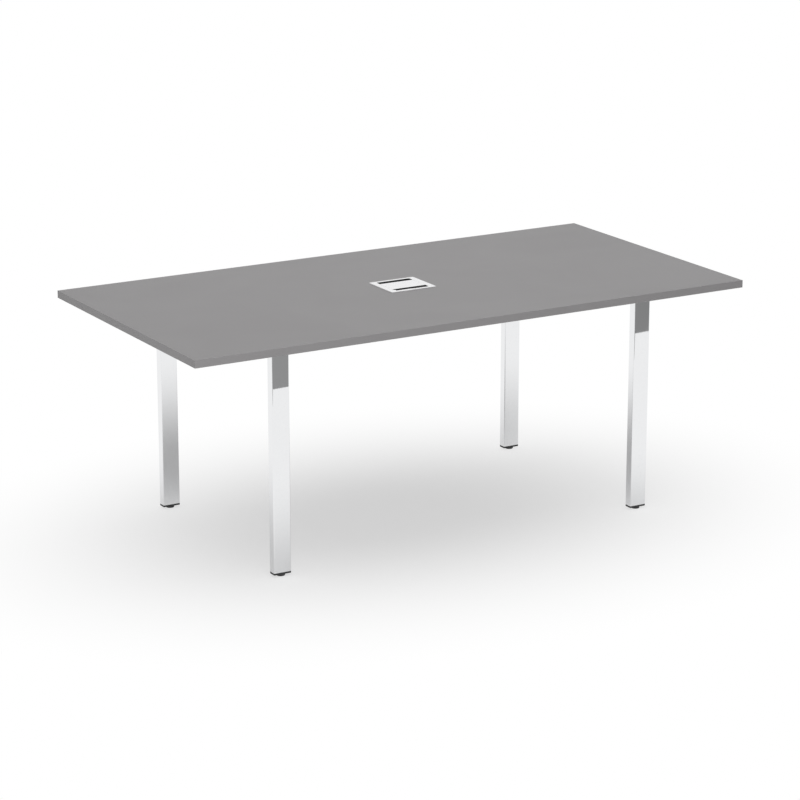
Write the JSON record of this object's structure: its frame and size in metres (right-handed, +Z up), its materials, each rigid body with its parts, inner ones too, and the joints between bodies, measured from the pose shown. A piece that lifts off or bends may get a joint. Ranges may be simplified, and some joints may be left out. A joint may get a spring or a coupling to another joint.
{
  "type": "conference table",
  "caption": "Rectangular conference table with a grey laminated top, a lidded cable port in its middle and oblong chromed legs on levelling glides.",
  "frame": {"origin": "on the floor under the middle of the table top", "axes": "+X along the table's length, +Y across it from the front long side to the rear one, +Z up"},
  "size_m": [2, 1, 0.7625],
  "materials": {
    "laminate": "grey laminated chipboard, matt",
    "edge_band": "grey plastic edge band",
    "chrome": "bright chromed steel tube",
    "painted_steel": "silver powder coat",
    "zinc_steel": "zinc plated",
    "black_plastic": "black moulded plastic",
    "aluminium": "polished and lacquered"
  },
  "bodies": {
    "table": {"table_top": "laminate", "edge_band_front": "edge_band", "edge_band_rear": "edge_band", "edge_band_left": "edge_band", "edge_band_right": "edge_band", "leg_front_left": "chrome", "leg_rear_left": "chrome", "leg_front_right": "chrome", "leg_rear_right": "chrome", "cross_rail_left": "chrome", "cross_rail_right": "chrome", "beam_front": "painted_steel", "beam_rear": "painted_steel", "beam_flange_front_left": "painted_steel", "beam_flange_rear_left": "painted_steel", "beam_flange_front_right": "painted_steel", "beam_flange_rear_right": "painted_steel", "fixing_lug_front_left": "painted_steel", "fixing_lug_rear_left": "painted_steel", "fixing_lug_front_right": "painted_steel", "fixing_lug_rear_right": "painted_steel", "beam_bolt_front_left_outer": "zinc_steel", "beam_bolt_front_left_inner": "zinc_steel", "beam_bolt_rear_left_outer": "zinc_steel", "beam_bolt_rear_left_inner": "zinc_steel", "beam_bolt_front_right_outer": "zinc_steel", "beam_bolt_front_right_inner": "zinc_steel", "beam_bolt_rear_right_outer": "zinc_steel", "beam_bolt_rear_right_inner": "zinc_steel", "lug_screw_front_left": "zinc_steel", "lug_screw_rear_left": "zinc_steel", "lug_screw_front_right": "zinc_steel", "lug_screw_rear_right": "zinc_steel", "glide_nut_front_left": "zinc_steel", "glide_nut_rear_left": "zinc_steel", "glide_nut_front_right": "zinc_steel", "glide_nut_rear_right": "zinc_steel", "lid_pin_left": "zinc_steel", "lid_pin_right": "zinc_steel", "clamp_bar_left": "zinc_steel", "clamp_bar_right": "zinc_steel", "clamp_screw_left": "zinc_steel", "clamp_screw_right": "zinc_steel", "foot_cap_front_left": "black_plastic", "foot_cap_rear_left": "black_plastic", "foot_cap_front_right": "black_plastic", "foot_cap_rear_right": "black_plastic", "port_housing": "black_plastic", "port_bezel": "aluminium"},
    "lid": {"port_lid": "aluminium"},
    "glide_front_left": {"glide_disc_front_left": "black_plastic", "glide_stud_front_left": "zinc_steel"},
    "glide_rear_left": {"glide_disc_rear_left": "black_plastic", "glide_stud_rear_left": "zinc_steel"},
    "glide_front_right": {"glide_disc_front_right": "black_plastic", "glide_stud_front_right": "zinc_steel"},
    "glide_rear_right": {"glide_disc_rear_right": "black_plastic", "glide_stud_rear_right": "zinc_steel"}
  },
  "joints": [
    {"name": "lid_hinge", "type": "hinge", "parent": "table", "child": "lid", "pos_m": [0, 0.037, 0.7555], "axis": [-1, 0, 0], "range_deg": [0, 105]},
    {"name": "glide_front_left_screw", "type": "slide", "parent": "table", "child": "glide_front_left", "axis": [0, 0, -1], "range_m": [0, 0.015]},
    {"name": "glide_rear_left_screw", "type": "slide", "parent": "table", "child": "glide_rear_left", "axis": [0, 0, -1], "range_m": [0, 0.015]},
    {"name": "glide_front_right_screw", "type": "slide", "parent": "table", "child": "glide_front_right", "axis": [0, 0, -1], "range_m": [0, 0.015]},
    {"name": "glide_rear_right_screw", "type": "slide", "parent": "table", "child": "glide_rear_right", "axis": [0, 0, -1], "range_m": [0, 0.015]}
  ]
}
